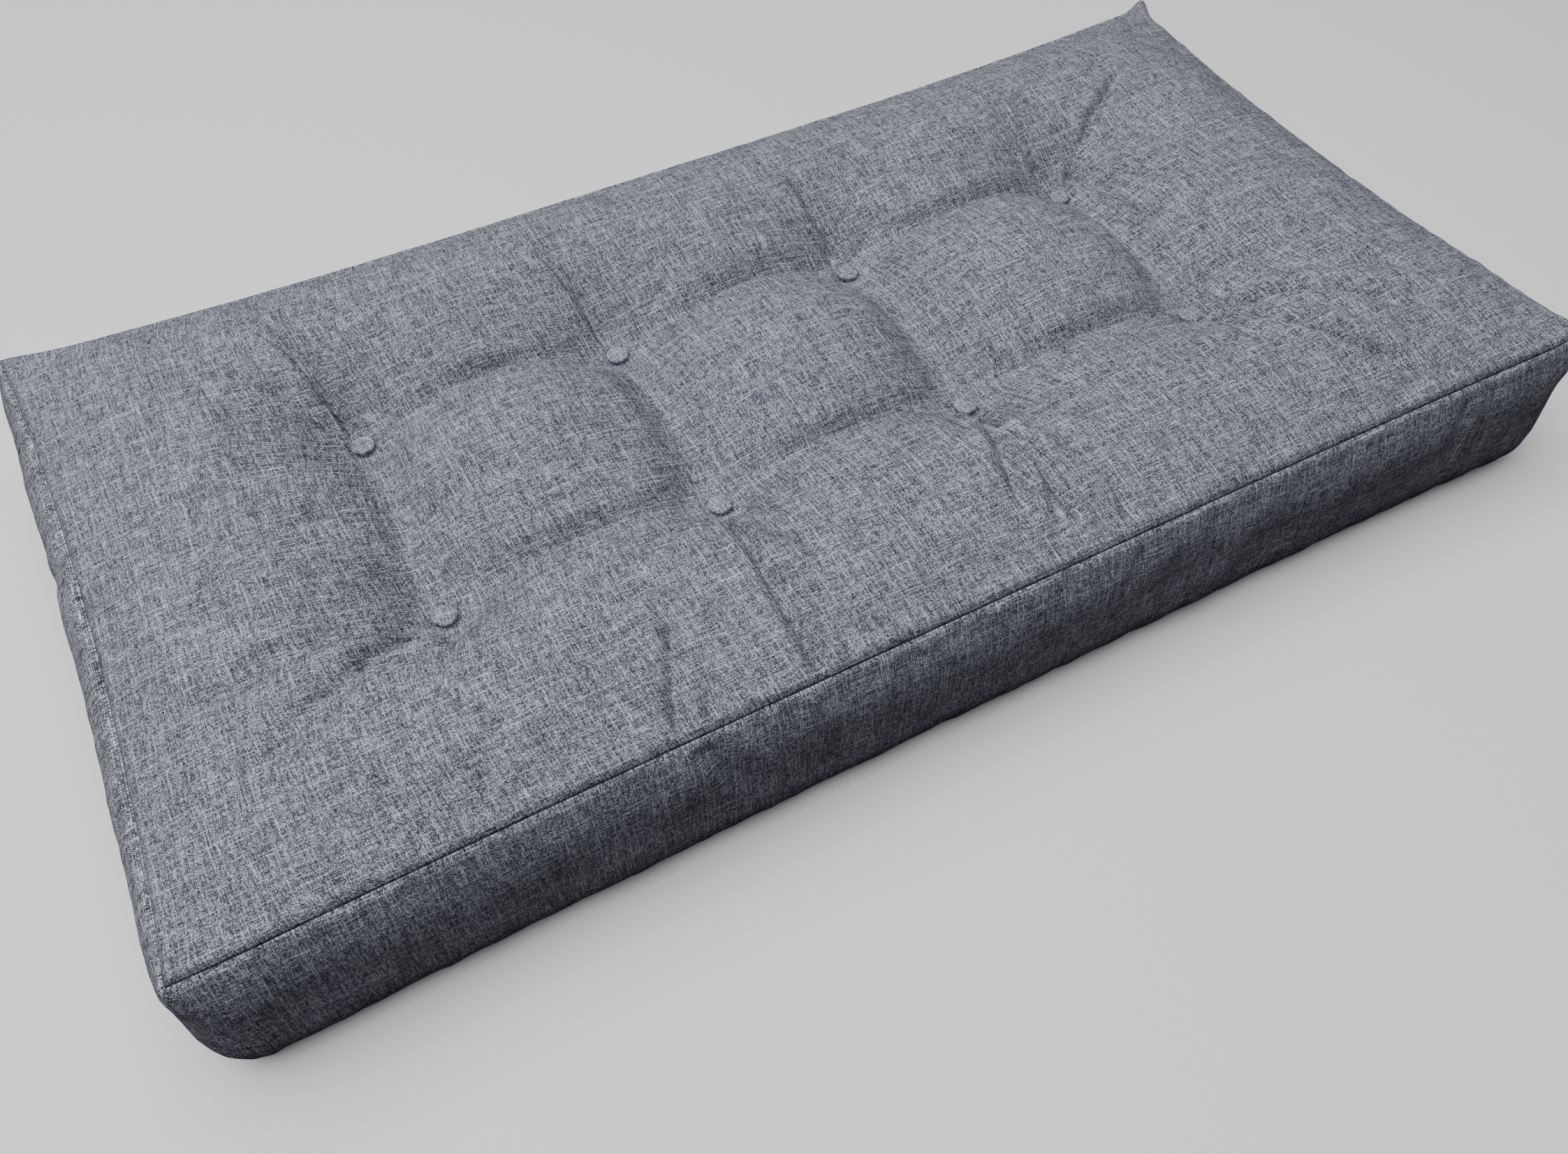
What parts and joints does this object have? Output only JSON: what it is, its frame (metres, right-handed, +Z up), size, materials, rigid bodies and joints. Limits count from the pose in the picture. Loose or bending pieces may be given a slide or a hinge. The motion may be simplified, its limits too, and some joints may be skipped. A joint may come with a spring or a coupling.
{
  "type": "button-tufted pallet seat cushion",
  "caption": "Long filled seat cushion with a crowned, button-tufted top, drawn-in sewn sides, plain boxing and a flat underside.",
  "frame": {"origin": "under the middle of the cushion, on the surface that it lies on", "axes": "+X along the long side, +Y from the front long side to the back one, +Z up through the top panel"},
  "size_m": [1.2228, 0.636, 0.182],
  "materials": {
    "cushion_cloth": "matt grey melange linen-look weave",
    "button_cloth": "the same matt grey weave, stretched over a button"
  },
  "bodies": {
    "root": {"cushion": "cushion_cloth", "button_front_1": "button_cloth", "button_front_2": "button_cloth", "button_front_3": "button_cloth", "button_front_4": "button_cloth", "button_back_1": "button_cloth", "button_back_2": "button_cloth", "button_back_3": "button_cloth", "button_back_4": "button_cloth"}
  },
  "joints": []
}
